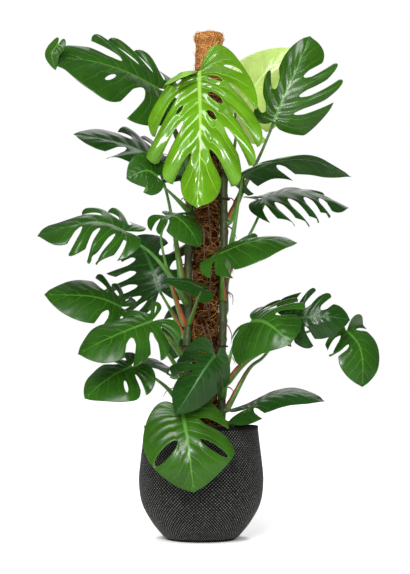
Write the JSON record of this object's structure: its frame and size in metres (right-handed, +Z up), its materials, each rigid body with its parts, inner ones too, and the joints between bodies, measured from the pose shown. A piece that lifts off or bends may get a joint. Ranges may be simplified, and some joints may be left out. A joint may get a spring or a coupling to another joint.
{
  "type": "potted monstera plant",
  "caption": "Climbing split-leaf monstera on a coir moss pole, standing in a round-bellied dark woven-look pot.",
  "frame": {"origin": "centre of the flat underside of the pot", "axes": "+Z up along the pot's axis, -Y towards the plant's front, +X to the right seen from the front"},
  "size_m": [0.7975, 0.5671, 1.1924],
  "materials": {
    "pot": "dark charcoal with a fine woven relief, matte",
    "nursery_plastic": "black moulded plastic",
    "bark_soil": "damp potting soil with bark chips",
    "coir": "coconut fibre mat",
    "twine": "dark garden twine",
    "vine": "green climbing stem",
    "petiole": "smooth green leaf stalk",
    "leaf_green": "leathery dark green leaf, semi-gloss",
    "leaf_bright": "fresh green leaf, glossy",
    "leaf_young": "soft yellow-green young leaf"
  },
  "bodies": {
    "root": {"back_left_blade": "leaf_green", "back_left_petiole": "petiole", "back_low_blade": "leaf_green", "back_low_petiole": "petiole", "back_stem": "vine", "back_upper_blade": "leaf_green", "back_upper_petiole": "petiole", "centre_blade": "leaf_green", "centre_petiole": "petiole", "centre_right_blade": "leaf_green", "centre_right_petiole": "petiole", "far_right_blade": "leaf_green", "far_right_petiole": "petiole", "front_low_blade": "leaf_bright", "front_low_petiole": "petiole", "hero_blade": "leaf_bright", "hero_petiole": "petiole", "left_back_blade": "leaf_green", "left_back_petiole": "petiole", "left_bottom_blade": "leaf_green", "left_bottom_petiole": "petiole", "left_inner_blade": "leaf_green", "left_inner_petiole": "petiole", "left_long_blade": "leaf_green", "left_long_petiole": "petiole", "left_lower_blade": "leaf_green", "left_lower_petiole": "petiole", "left_middle_blade": "leaf_green", "left_middle_petiole": "petiole", "left_small_blade": "leaf_green", "left_small_petiole": "petiole", "left_stem": "vine", "left_upper_blade": "leaf_green", "left_upper_petiole": "petiole", "lower_tie": "twine", "middle_folded_blade": "leaf_green", "middle_folded_petiole": "petiole", "moss_pole": "coir", "nursery_pot": "nursery_plastic", "pole_core": "nursery_plastic", "pot": "pot", "right_behind_blade": "leaf_green", "right_behind_petiole": "petiole", "right_fingered_blade": "leaf_green", "right_fingered_petiole": "petiole", "right_front_blade": "leaf_green", "right_front_petiole": "petiole", "right_small_blade": "leaf_green", "right_small_petiole": "petiole", "right_stem": "vine", "right_upper_blade": "leaf_green", "right_upper_petiole": "petiole", "soil": "bark_soil", "top_left_blade": "leaf_green", "top_left_petiole": "petiole", "top_right_blade": "leaf_green", "top_right_petiole": "petiole", "upper_tie": "twine", "young_blade": "leaf_young", "young_petiole": "petiole"}
  },
  "joints": []
}
